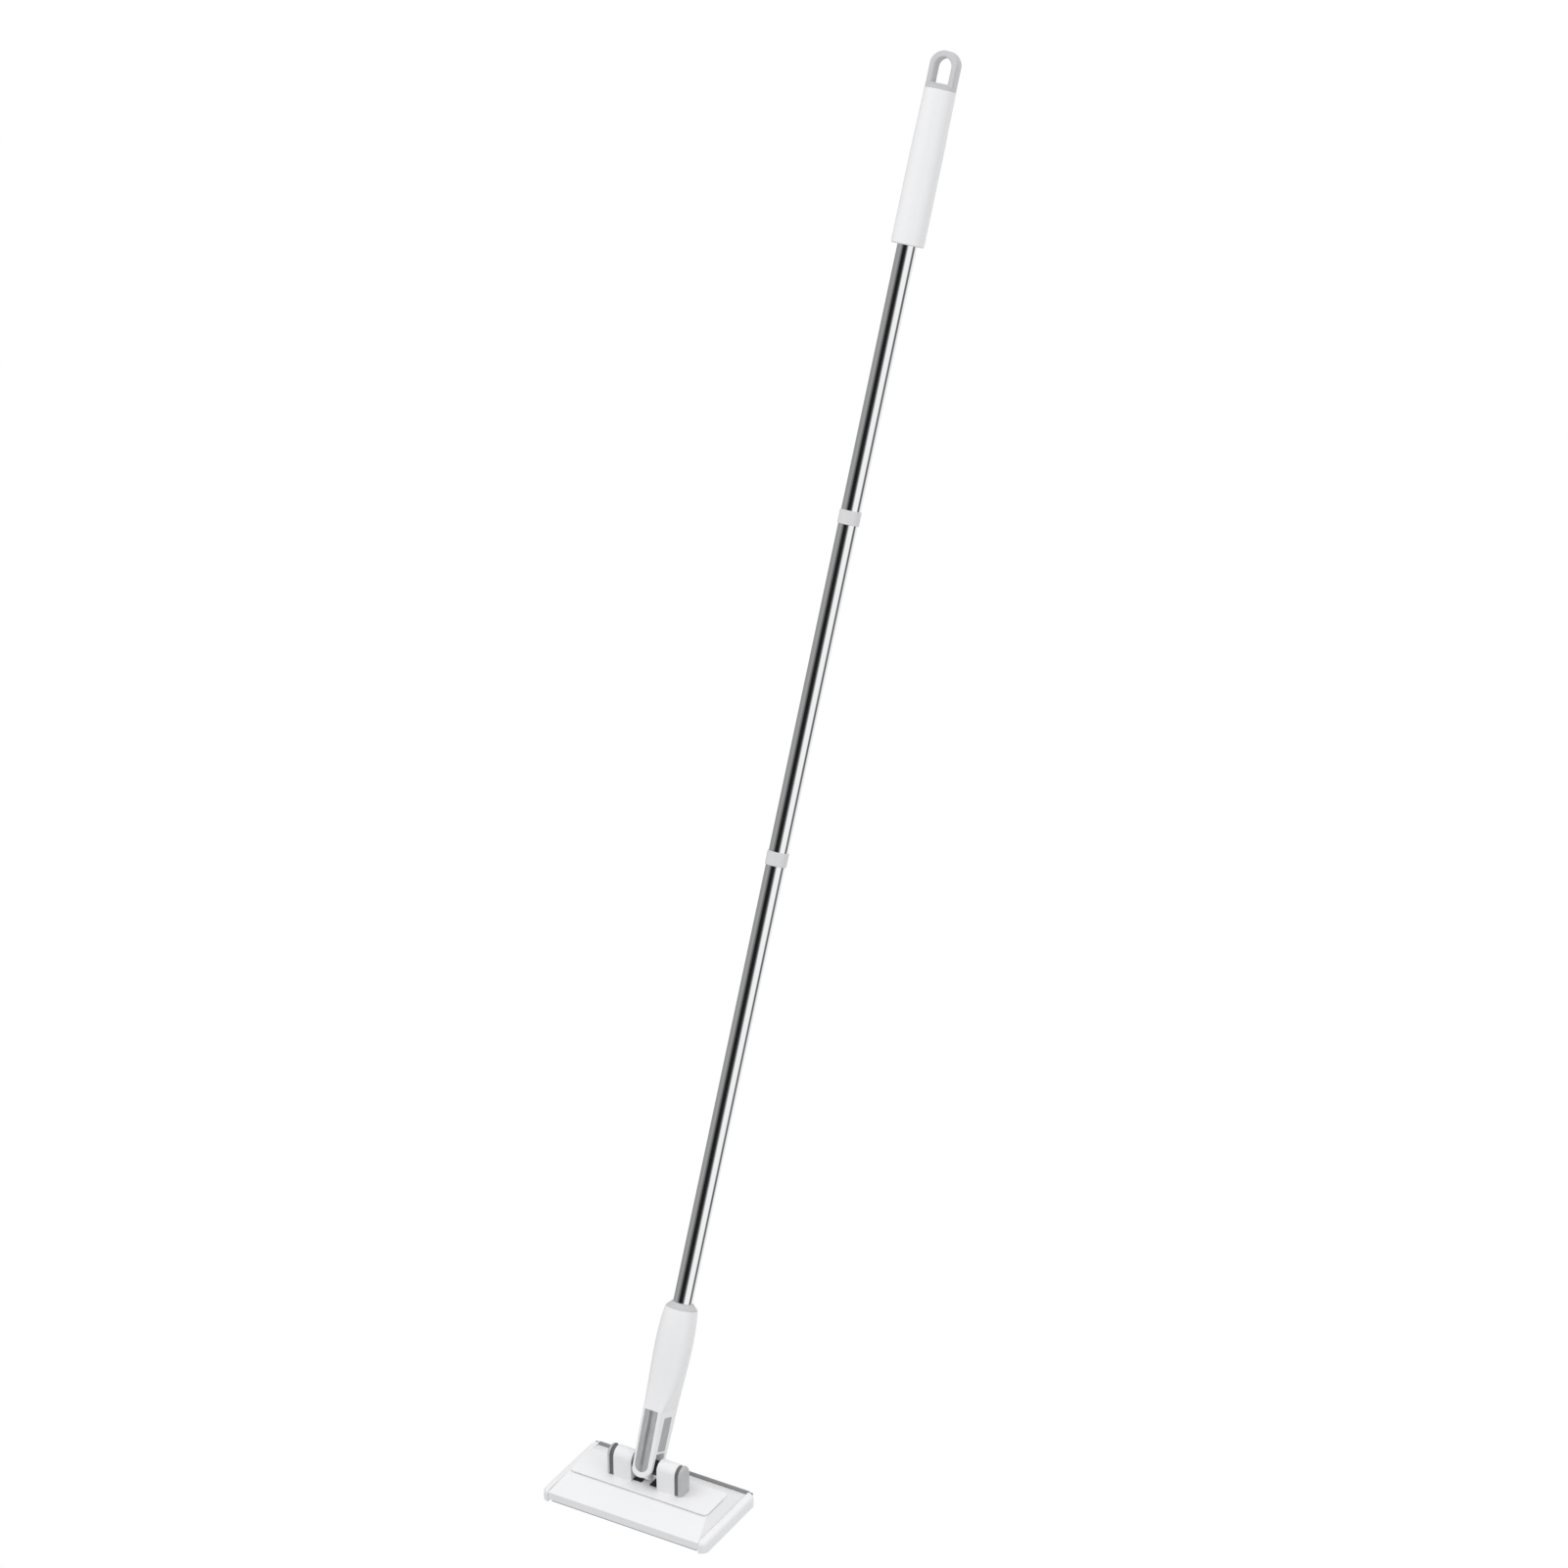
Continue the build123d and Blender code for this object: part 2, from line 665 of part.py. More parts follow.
def make_hang_loop():
    """The cap on the grip with the arch that the mop hangs from."""
    arch_r = loop_width / 2
    arch_z = grip_top + loop_height - arch_r
    with BuildSketch(Plane.XZ) as outline:
        with Locations((0, (grip_top + arch_z) / 2)):
            Rectangle(loop_width, arch_z - grip_top)
        with Locations((0, arch_z)):
            Circle(arch_r)
    arch = extrude(outline.sketch, amount=loop_thickness / 2, both=True)
    slot_r = loop_slot_width / 2
    slot_low = grip_top + loop_slot_bottom
    slot_round = slot_low + loop_slot_length - slot_r
    with BuildSketch(Plane.XZ) as opening:
        with Locations((0, (slot_low + slot_round) / 2)):
            Rectangle(loop_slot_width, slot_round - slot_low)
        with Locations((0, slot_round)):
            Circle(slot_r)
    arch -= extrude(opening.sketch, amount=loop_thickness, both=True)
    rims = arch.faces().filter_by(Axis.Y).edges()
    arch = fillet(rims.filter_by(lambda edge: edge.center().Z > grip_top + margin), loop_edge_r)
    arch = arch & rod_z(loop_disc_r, grip_top, grip_top + loop_height + margin)
    cap = arch + rod_z(loop_disc_r, grip_top, grip_top + loop_disc)
    cap += rod_z(grip_bore_r, grip_top - loop_plug_length, grip_top + margin)
    cap -= rod_z(loop_screw_r + assembly_gap, grip_bottom, slot_low + margin)
    cap -= rod_z(loop_screw_head_r + assembly_gap, slot_low - loop_screw_head, slot_low + margin)
    return cap


def make_loop_screw():
    """The screw down through the cap into the plug."""
    seat = grip_top + loop_slot_bottom - loop_screw_head
    tip = tube_top - loop_screw_bite + assembly_gap
    head = rod_z(loop_screw_head_r, seat, seat + loop_screw_head - assembly_gap)
    head -= box(-loop_screw_slot_half, loop_screw_slot_half, -loop_screw_head_r, loop_screw_head_r,
                seat + loop_screw_head - loop_screw_slot_depth, seat + loop_screw_head)
    return head + rod_z(loop_screw_r, tip, seat)


# ---------------------------------------------------------------- write the sub-parts
save("base_tray", make_base_tray())
save("sole_pad", make_sole_pad())
save("wipe_cloth", make_wipe_cloth())

save("top_cover", make_top_cover())
save("hinge_rod", make_hinge_rod())
save("centre_panel", make_centre_panel())
bearing_block = make_bearing_block()
save("bearing_block_right", bearing_block)
save("bearing_block_left", mirrored(bearing_block))
block_end_cap = make_block_end_cap()
save("block_end_cap_right", block_end_cap)
save("block_end_cap_left", mirrored(block_end_cap))
save("block_screws", make_block_screws())
save("tilt_pin", make_tilt_pin())
save("pin_spacers", make_pin_spacers())
save("bumper_pads", make_bumper_pads())

save_pole("knuckle", make_knuckle())
save_pole("swivel_pins", make_swivel_pins())

left_half, right_half = make_yoke_halves()
save_pole("yoke_half_left", left_half)
save_pole("yoke_half_right", right_half)
front_inlay = make_front_inlay()
save_pole("yoke_inlay_front", front_inlay)
save_pole("yoke_inlay_back", mirror(front_inlay, about=Plane.XZ))
side_inlay = make_side_inlay()
save_pole("yoke_inlay_right", side_inlay)
save_pole("yoke_inlay_left", mirrored(side_inlay))
save_pole("tube_holder", make_tube_holder())
save_pole("pole_collar", make_pole_collar())

ring_half = ring_width / 2
save_pole("tube_lower", make_tube(tube_bottom, lower_ring_z - ring_half))
save_pole("tube_middle", make_tube(lower_ring_z + ring_half, upper_ring_z - ring_half))
save_pole("tube_upper", make_tube(upper_ring_z + ring_half, tube_top))
for place, ring_z in (("lower", lower_ring_z), ("upper", upper_ring_z)):
    save_pole(f"coupler_socket_{place}", make_coupler_socket(ring_z))
    save_pole(f"coupler_stud_{place}", make_coupler_stud(ring_z))
save_pole("grip", make_grip())
save_pole("grip_core", make_grip_core())
save_pole("top_plug", make_top_plug())
save_pole("hang_loop", make_hang_loop())
save_pole("loop_screw", make_loop_screw())
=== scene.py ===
import json
import math

import bmesh
import bpy
from bpy.props import FloatProperty, FloatVectorProperty, IntProperty, PointerProperty
from bpy.types import Operator, Panel, PropertyGroup
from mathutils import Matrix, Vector


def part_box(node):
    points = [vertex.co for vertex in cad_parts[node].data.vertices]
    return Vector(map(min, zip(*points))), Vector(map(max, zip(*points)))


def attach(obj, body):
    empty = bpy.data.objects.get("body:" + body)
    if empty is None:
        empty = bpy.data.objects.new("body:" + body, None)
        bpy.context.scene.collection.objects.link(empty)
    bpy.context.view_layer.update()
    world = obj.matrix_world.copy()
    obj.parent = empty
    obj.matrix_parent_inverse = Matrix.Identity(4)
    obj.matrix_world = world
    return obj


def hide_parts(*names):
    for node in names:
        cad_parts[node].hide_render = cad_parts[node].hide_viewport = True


bl_info = {
    "name": "Flat mop",
    "version": (1, 0, 0),
    "blender": (4, 5, 0),
    "location": "3D View > Sidebar > Flat mop",
    "description": "Finishes, cloth, foam pad and studio for a flat mop",
    "category": "Object",
}

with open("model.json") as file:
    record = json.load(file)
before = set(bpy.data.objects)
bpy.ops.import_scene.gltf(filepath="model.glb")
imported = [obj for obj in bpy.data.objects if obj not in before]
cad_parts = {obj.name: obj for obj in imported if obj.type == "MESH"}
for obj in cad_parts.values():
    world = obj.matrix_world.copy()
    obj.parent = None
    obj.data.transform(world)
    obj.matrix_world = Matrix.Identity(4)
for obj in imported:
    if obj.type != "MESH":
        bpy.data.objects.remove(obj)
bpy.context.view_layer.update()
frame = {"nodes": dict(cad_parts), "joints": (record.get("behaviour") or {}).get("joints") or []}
MM = 0.001
BASE = "head_base"

# Marks in the greys and the white: the line down the long strips, painted shade in the neck of the
# end caps and painted shade in the gap under the panel, each with the share of its colour's value
# that is left there.
INLAY_LINE_HALF = 0.9 * MM
INLAY_LINE_END = 2.88 * MM
INLAY_LINE_SHARE = 0.5
INLAY_STREAK_SHARE = 0.7
INLAY_MASK_LOW = -0.1
INLAY_SHADES = (0.55, 1.25)
CAP_NECK = 4.0 * MM
CAP_NECK_PAINTED_SHADE = 0.3
PANEL_GAP = 1.15 * MM
PANEL_GAP_PAINTED_SHADE = 0.12
# Painted shade in the foam's pits: the share of the foam's colour that is left there.
FOAM_PIT_PAINTED_SHADE = 0.7

# How far the gloss of the plastics swings, how strongly the tufts shade the cloth, and the depth of
# each fine texture.
WHITE_MOTTLE = 0.012
GLOSS_SWING = 0.08
TUFT_SWING = 0.25
MOULD_GRAIN_DEPTH = 0.1 * MM
METAL_LINE_DEPTH = 0.05 * MM
FABRIC_DEPTH = 0.3 * MM

# The cloth's rib shape is kept on its points under this name.
RIB_HEIGHT = "rib_height"
CREST_POWER = 0.7
PINK_REACH = 4.0 * MM
WELD = 0.01 * MM

# Studio: the floor lies low enough that the head clears it at every joint's limit. The room stops
# are degrees round the upright and how bright polished metal sees the room there.
FLOOR_HALF = 14.0
FLOOR_DROP = 0.16
LAMP_AIM = (0.0, 0.2, 0.5)
WORLD_RISE = 0.22
WHITE = (1.0, 1.0, 1.0, 1.0)
ROOM_STOPS = ((-180, 0.95), (-165, 0.9), (-140, 0.36), (-75, 0.34), (-55, 0.4), (-34, 0.2),
              (-14, 0.012), (16, 0.012), (32, 0.12), (50, 1.0), (94, 1.0), (105, 0.14), (125, 0.14),
              (138, 0.95), (180, 0.95))
SENSOR_WIDTH = 36.0
VIEW_END = 100.0

NUMBER, COLOUR, VECTOR = "NodeSocketFloat", "NodeSocketColor", "NodeSocketVector"

WHITE_PIECES = ("grip", "yoke_half_left", "yoke_half_right", "knuckle",
                "bearing_block_left", "bearing_block_right", "top_cover", "base_tray")
PALE_PIECES = ("hang_loop", "grip_core", "top_plug", "pole_collar", "tube_holder")
RING_PIECES = ("coupler_socket_lower", "coupler_socket_upper", "coupler_stud_lower",
               "coupler_stud_upper")
INLAY_PIECES = ("yoke_inlay_front", "yoke_inlay_back", "yoke_inlay_left", "yoke_inlay_right")
CAP_PIECES = ("block_end_cap_left", "block_end_cap_right")
RUBBER_PIECES = ("pin_spacers", "bumper_pads")
TUBE_PIECES = ("tube_lower", "tube_middle", "tube_upper")
STEEL_PIECES = ("loop_screw", "block_screws", "tilt_pin", "swivel_pins")


# ---------------------------------------------------------------- settings
def length(name, description, default, unit="LENGTH"):
    """A length setting in metres."""
    return FloatProperty(name=name, description=description, default=default, unit=unit,
                         precision=5)


def colour(name, description, default):
    """A colour setting."""
    return FloatVectorProperty(name=name, description=description, default=default, subtype="COLOR",
                               size=3, min=0.0, max=1.0)


def share(name, description, default):
    """A setting from 0 to 1."""
    return FloatProperty(name=name, description=description, default=default, min=0.0, max=1.0,
                         subtype="FACTOR")


class MopFinishes(PropertyGroup):
    """Colours and gloss of the mop's materials."""
    white: colour("White plastic", "Grip, yoke, cover and base", (0.88, 0.882, 0.892))
    pale: colour("Pale grey plastic", "Hanging loop and collar", (0.6, 0.6, 0.612))
    ring: colour("Ring plastic", "Coupling rings on the pole", (0.71, 0.71, 0.72))
    inlay: colour("Inlay grey", "Strips let into the yoke", (0.4, 0.402, 0.408))
    cap: colour("End cap grey", "Ends of the bearing blocks", (0.5, 0.502, 0.51))
    rubber: colour("Black rubber", "Rings on the tilt pin, pads on the panel", (0.02, 0.02, 0.021))
    rod: colour("Hinge rod grey", "Rod along the back of the head", (0.28, 0.28, 0.285))
    tube: colour("Polished steel", "The three pole tubes", (0.87, 0.875, 0.885))
    steel: colour("Pin steel", "Pins and screws", (0.58, 0.585, 0.6))
    foam: colour("Foam grey", "Pad behind the cloth", (0.21, 0.215, 0.225))
    cloth_crest: colour("Cloth crests", "Tops of the cloth's ribs", (0.36, 0.39, 0.45))
    cloth_valley: colour("Cloth valleys", "Between the cloth's ribs", (0.155, 0.17, 0.21))
    white_gloss: share("White roughness", "Roughness of the white plastic", 0.34)
    tube_gloss: share("Tube roughness", "Roughness of the polished tubes", 0.05)


class MopCloth(PropertyGroup):
    """Sizes of the ribbed cloth."""
    thickness: length("Thickness", "Thickness of the cloth at a rib", 1.2 * MM)
    rib_pitch: length("Rib pitch", "Distance from rib to rib", 4.6 * MM)
    rib_depth: length("Rib depth", "How deep the valleys are", 0.5 * MM)
    tooth_pitch: length("Tooth pitch", "Distance from tooth to tooth of the pinked edge", 6.2 * MM)
    tooth_depth: length("Tooth depth", "How far the pinked edge goes in and out", 1.7 * MM)
    fold_radius: length("Fold radius", "Inside radius of the turned-up edges", 0.3 * MM)
    across: IntProperty(name="Steps across", description="Mesh steps over the ribs", default=188,
                        min=40, max=400)
    along: IntProperty(name="Steps along", description="Mesh steps along the ribs", default=112,
                       min=20, max=400)


class MopPad(PropertyGroup):
    """Sizes of the foam pad."""
    edge: length("Edge radius", "Rounding of the pad's edges", 0.7 * MM)
    segments: IntProperty(name="Edge steps", description="Steps in the rounded edge", default=3,
                          min=1, max=8)


class MopStudio(PropertyGroup):
    """Lamps, floor and camera."""
    floor_colour: colour("Floor", "Pale floor", (0.62, 0.62, 0.625))
    key_power: FloatProperty(name="Key lamp", description="Power of the large lamp", default=34.0,
                             unit="POWER", min=0.0)
    fill_power: FloatProperty(name="Fill lamp", description="Power of the side lamp", default=12.0,
                              unit="POWER", min=0.0)
    world_level: FloatProperty(name="World level", description="Strength of the even light",
                               default=0.72, min=0.0)
    camera_place: FloatVectorProperty(name="Camera", description="Place of the camera", size=3,
                                      default=(2.185, -3.525, 2.935), subtype="TRANSLATION",
                                      unit="LENGTH")
    camera_turn: FloatProperty(name="Camera turn", description="Azimuth of the camera",
                               default=math.radians(29.99), unit="ROTATION")
    camera_drop: FloatProperty(name="Camera drop", description="Downward slope of the camera",
                               default=math.radians(27.46), unit="ROTATION")
    camera_lens: FloatProperty(name="Lens", description="Focal length", default=119.7,
                               unit="CAMERA", min=1.0)


# ---------------------------------------------------------------- node building
def feed(tree, value, socket):
    """Give a socket a value, or join another socket to it."""
    if isinstance(value, bpy.types.NodeSocket):
        tree.links.new(value, socket)
    else:
        socket.default_value = value


def add_node(tree, kind, inputs=None, **settings):
    """A node with its properties set and then its inputs fed, by name or by place."""
    node = tree.nodes.new(kind)
    for key, value in settings.items():
        setattr(node, key, value)
    for key, value in (inputs or {}).items():
        feed(tree, value, node.inputs[key])
    return node


def math_node(tree, operation, *values):
    """The result of a Math node on values or sockets."""
    inputs = dict(enumerate(values))
    return add_node(tree, "ShaderNodeMath", inputs, operation=operation).outputs[0]


def split(tree, vector):
    """The X, Y and Z sockets of a vector socket."""
    parts = add_node(tree, "ShaderNodeSeparateXYZ", {0: vector})
    return parts.outputs["X"], parts.outputs["Y"], parts.outputs["Z"]


def joined(tree, x=0.0, y=0.0, z=0.0):
    """A vector socket from three values or sockets."""
    return add_node(tree, "ShaderNodeCombineXYZ", {"X": x, "Y": y, "Z": z}).outputs[0]


def stretched(tree, vector, along):
    """A vector socket with its Z scaled, so that a pattern on it runs lengthways."""
    inputs = {0: vector, 1: (1.0, 1.0, along)}
    return add_node(tree, "ShaderNodeVectorMath", inputs, operation="MULTIPLY").outputs[0]


def noise(tree, vector, scale, detail=2.0, rough=0.5):
    """A noise texture on a vector socket; scale is a number or a socket."""
    inputs = {"Vector": vector, "Scale": scale, "Detail": detail, "Roughness": rough}
    return add_node(tree, "ShaderNodeTexNoise", inputs).outputs["Fac"]


def bump(tree, height, strength, distance):
    """The normal that a height socket gives; strength is a number or a socket."""
    inputs = {"Height": height, "Strength": strength, "Distance": distance}
    return add_node(tree, "ShaderNodeBump", inputs).outputs["Normal"]


def shaded(tree, tint, value):
    """A colour socket with its value scaled by another socket."""
    inputs = {"Color": tint, "Value": value}
    return add_node(tree, "ShaderNodeHueSaturation", inputs).outputs["Color"]


def between(tree, factor, low, high):
    """A colour between two colours, by a factor socket."""
    inputs = {"Factor": factor, "A": rgba(low), "B": rgba(high)}
    return add_node(tree, "ShaderNodeMix", inputs, data_type="RGBA").outputs["Result"]


def new_group(name, inputs, outputs):
    """A shader node group with named inputs and outputs."""
    tree = bpy.data.node_groups.new(name, "ShaderNodeTree")
    for label, kind, default in inputs:
        socket = tree.interface.new_socket(label, in_out="INPUT", socket_type=kind)
        if default is not None:
            socket.default_value = default
    for label, kind in outputs:
        tree.interface.new_socket(label, in_out="OUTPUT", socket_type=kind)
    return tree, tree.nodes.new("NodeGroupInput").outputs, tree.nodes.new("NodeGroupOutput").inputs


# ---------------------------------------------------------------- finishes
def moulding_group():
    """Moulded plastic: faint mottle in the colour, small changes of gloss, and a fine texture."""
    tree, given, result = new_group(
        "moulded_surface",
        [("Vector", VECTOR, None), ("Colour", COLOUR, (0.8, 0.8, 0.8, 1)),
         ("Roughness", NUMBER, 0.4), ("Mottle", NUMBER, 0.04), ("Grain Scale", NUMBER, 2600.0),
         ("Grain Height", NUMBER, 0.05)],
        [("Colour", COLOUR), ("Roughness", NUMBER), ("Normal", VECTOR)])
    broad = noise(tree, given["Vector"], scale=38.0, detail=3.0)
    cloudy = noise(tree, given["Vector"], scale=210.0, detail=4.0, rough=0.6)
    grain = noise(tree, given["Vector"], given["Grain Scale"], detail=2.0, rough=0.6)
    swing = math_node(tree, "MULTIPLY_ADD", broad, 2.0, -1.0)
    value = math_node(tree, "ADD", math_node(tree, "MULTIPLY", swing, given["Mottle"]), 1.0)
    feed(tree, shaded(tree, given["Colour"], value), result["Colour"])
    wear = math_node(tree, "MULTIPLY_ADD", cloudy, 2 * GLOSS_SWING, -GLOSS_SWING)
    feed(tree, math_node(tree, "ADD", given["Roughness"], wear), result["Roughness"])
    feed(tree, bump(tree, grain, given["Grain Height"], MOULD_GRAIN_DEPTH), result["Normal"])
    return tree


def metal_group():
    """Drawn or ground metal: fine lines one way, and small changes of gloss."""
    tree, given, result = new_group(
        "worked_metal",
        [("Vector", VECTOR, None), ("Roughness", NUMBER, 0.1), ("Line Scale", NUMBER, 900.0),
         ("Line Depth", NUMBER, 0.03), ("Gloss Change", NUMBER, 0.03)],
        [("Roughness", NUMBER), ("Normal", VECTOR)])
    drawn = stretched(tree, given["Vector"], along=0.02)
    lines = noise(tree, drawn, given["Line Scale"], detail=3.0, rough=0.6)
    patches = noise(tree, given["Vector"], scale=60.0, detail=4.0, rough=0.6)
    change = math_node(tree, "MULTIPLY", patches, given["Gloss Change"])
    feed(tree, math_node(tree, "ADD", given["Roughness"], change), result["Roughness"])
    feed(tree, bump(tree, lines, given["Line Depth"], METAL_LINE_DEPTH), result["Normal"])
    return tree


def new_material(name):
    """An empty material with its Principled shader and its object coordinates."""
    material = bpy.data.materials.new(name)
    material.use_nodes = True
    tree = material.node_tree
    shader = tree.nodes["Principled BSDF"]
    coordinates = tree.nodes.new("ShaderNodeTexCoord")
    return material, tree, shader, coordinates.outputs["Object"]


def object_space(material):
    """The object coordinates that a material already reads."""
    nodes = material.node_tree.nodes
    return next(node for node in nodes if node.type == "TEX_COORD").outputs["Object"]


def rgba(value):
    """A colour with its alpha."""
    return (value[0], value[1], value[2], 1.0)


def pole_lean():
    """How far the pole leans back at rest, from the axis that it swings sideways about."""
    axis = next(joint["axis"] for joint in frame["joints"] if joint["name"] == "head_swivel")
    return math.atan2(-axis[2], axis[1])


def pole_space(tree, vector):
    """Object coordinates turned so that Z runs up the pole."""
    inputs = {"Vector": vector, "Rotation": (pole_lean(), 0.0, 0.0)}
    return add_node(tree, "ShaderNodeMapping", inputs, vector_type="POINT").outputs["Vector"]


def plastic(name, group, tint, roughness, mottle=0.03, grain=2600.0, height=0.06):
    """A moulded plastic made from the shared surface."""
    material, tree, shader, vector = new_material(name)
    surface = add_node(tree, "ShaderNodeGroup", {
        "Vector": vector, "Colour": rgba(tint), "Roughness": roughness, "Mottle": mottle,
        "Grain Scale": grain, "Grain Height": height}, node_tree=group)
    feed(tree, surface.outputs["Colour"], shader.inputs["Base Color"])
    feed(tree, surface.outputs["Roughness"], shader.inputs["Roughness"])
    feed(tree, surface.outputs["Normal"], shader.inputs["Normal"])
    return material


def darkened(material, factor, low, high):
    """Scale a material's colour between two levels by a factor socket from 0 to 1."""
    tree = material.node_tree
    base = tree.nodes["Principled BSDF"].inputs["Base Color"]
    value = math_node(tree, "MULTIPLY_ADD", factor, high - low, low)
    feed(tree, shaded(tree, base.links[0].from_socket, value), base)
    return material


def inlay_plastic(group, tint):
    """The strips' grey: lengthways streaks, and a darker line down the middle of the front ones."""
    material = plastic("inlay_grey", group, tint, roughness=0.5, mottle=0.05, grain=3400.0,
                       height=0.2)
    tree = material.node_tree
    lengthways = pole_space(tree, object_space(material))
    drawn = stretched(tree, lengthways, along=0.18)
    streaks = noise(tree, drawn, scale=420.0, detail=3.0, rough=0.65)
    aside = math_node(tree, "ABSOLUTE", split(tree, lengthways)[0])
    off_line = add_node(tree, "ShaderNodeMapRange", {
        "Value": aside, "From Min": INLAY_LINE_HALF, "From Max": INLAY_LINE_END},
        interpolation_type="SMOOTHSTEP").outputs["Result"]
    mask = math_node(tree, "MULTIPLY_ADD", streaks, INLAY_STREAK_SHARE, INLAY_MASK_LOW)
    mask = math_node(tree, "MULTIPLY_ADD", off_line, INLAY_LINE_SHARE, mask)
    return darkened(material, mask, *INLAY_SHADES)


def cap_plastic(group, tint):
    """The end caps' grey, with painted shade in the neck where each cap meets its block."""
    material = plastic("end_cap_grey", group, tint, roughness=0.4)
    tree = material.node_tree
    aside = math_node(tree, "ABSOLUTE", split(tree, object_space(material))[0])
    neck_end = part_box("bearing_block_right")[1][0] + CAP_NECK
    # Painted shade: the cap's grey is darkened from its block out to the neck's end.
    return darkened(material, math_node(tree, "GREATER_THAN", aside, neck_end), CAP_NECK_PAINTED_SHADE, 1.0)


def panel_plastic(group, tint, roughness):
    """The panel's white, with painted shade in the gap under its edge."""
    material = plastic("panel_white", group, tint, roughness, WHITE_MOTTLE)
    tree = material.node_tree
    up = split(tree, object_space(material))[2]
    gap_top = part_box("centre_panel")[0][2] + PANEL_GAP
    # Painted shade: the panel's colour is darkened below the gap's top, where its overhang shades
    # the gap.
    return darkened(material, math_node(tree, "GREATER_THAN", up, gap_top), PANEL_GAP_PAINTED_SHADE, 1.0)


def metal(name, group, tint, roughness, scale, depth, change):
    """A metal made from the shared worked surface."""
    material, tree, shader, vector = new_material(name)
    surface = add_node(tree, "ShaderNodeGroup", {
        "Vector": pole_space(tree, vector), "Roughness": roughness, "Line Scale": scale,
        "Line Depth": depth, "Gloss Change": change}, node_tree=group)
    shader.inputs["Base Color"].default_value = rgba(tint)
    shader.inputs["Metallic"].default_value = 1.0
    feed(tree, surface.outputs["Roughness"], shader.inputs["Roughness"])
    feed(tree, surface.outputs["Normal"], shader.inputs["Normal"])
    return material


def cloth_material(finish):
    """Ribbed microfibre: dark valleys, pale crests and a fine looped pile."""
    material, tree, shader, vector = new_material("ribbed_cloth")
    height = add_node(tree, "ShaderNodeAttribute", attribute_name=RIB_HEIGHT).outputs["Fac"]
    pile = noise(tree, vector, scale=2100.0, detail=3.0, rough=0.7)
    tufts = noise(tree, vector, scale=620.0, detail=3.0, rough=0.6)
    lift = math_node(tree, "MULTIPLY_ADD", tufts, 2 * TUFT_SWING, -TUFT_SWING)
    mask = math_node(tree, "ADD", height, lift)
    tint = between(tree, mask, finish.cloth_valley, finish.cloth_crest)
    feed(tree, tint, shader.inputs["Base Color"])
    shader.inputs["Roughness"].default_value = 0.95
    shader.inputs["Sheen Weight"].default_value = 0.35
    shader.inputs["Sheen Roughness"].default_value = 0.5
    fuzz = math_node(tree, "ADD", pile, tufts)
    feed(tree, bump(tree, fuzz, 0.6, FABRIC_DEPTH), shader.inputs["Normal"])
    return material


def foam_material(finish):
    """Closed-cell foam: small pits, and a grey with painted shade in the pits."""
    material, tree, shader, vector = new_material("foam_pad")
    cells = add_node(tree, "ShaderNodeTexVoronoi", {"Vector": vector, "Scale": 900.0})
    away = cells.outputs["Distance"]
    # Painted shade: the grey is darker towards the middle of each pit, where the bump is lowest.
    pit_shade_tint = [FOAM_PIT_PAINTED_SHADE * part for part in finish.foam]
    tint = between(tree, math_node(tree, "MULTIPLY", away, 2.0), pit_shade_tint, finish.foam)
    feed(tree, tint, shader.inputs["Base Color"])
    shader.inputs["Roughness"].default_value = 0.85
    feed(tree, bump(tree, away, 0.5, FABRIC_DEPTH), shader.inputs["Normal"])
    return material


def shared_group(name, build):
    """A shader group, built the first time it is asked for."""
    return bpy.data.node_groups.get(name) or build()


def dress(nodes, material):
    """Give CAD nodes one material."""
    for name in nodes:
        piece = frame["nodes"][name]
        piece.data.materials.clear()
        piece.data.materials.append(material)


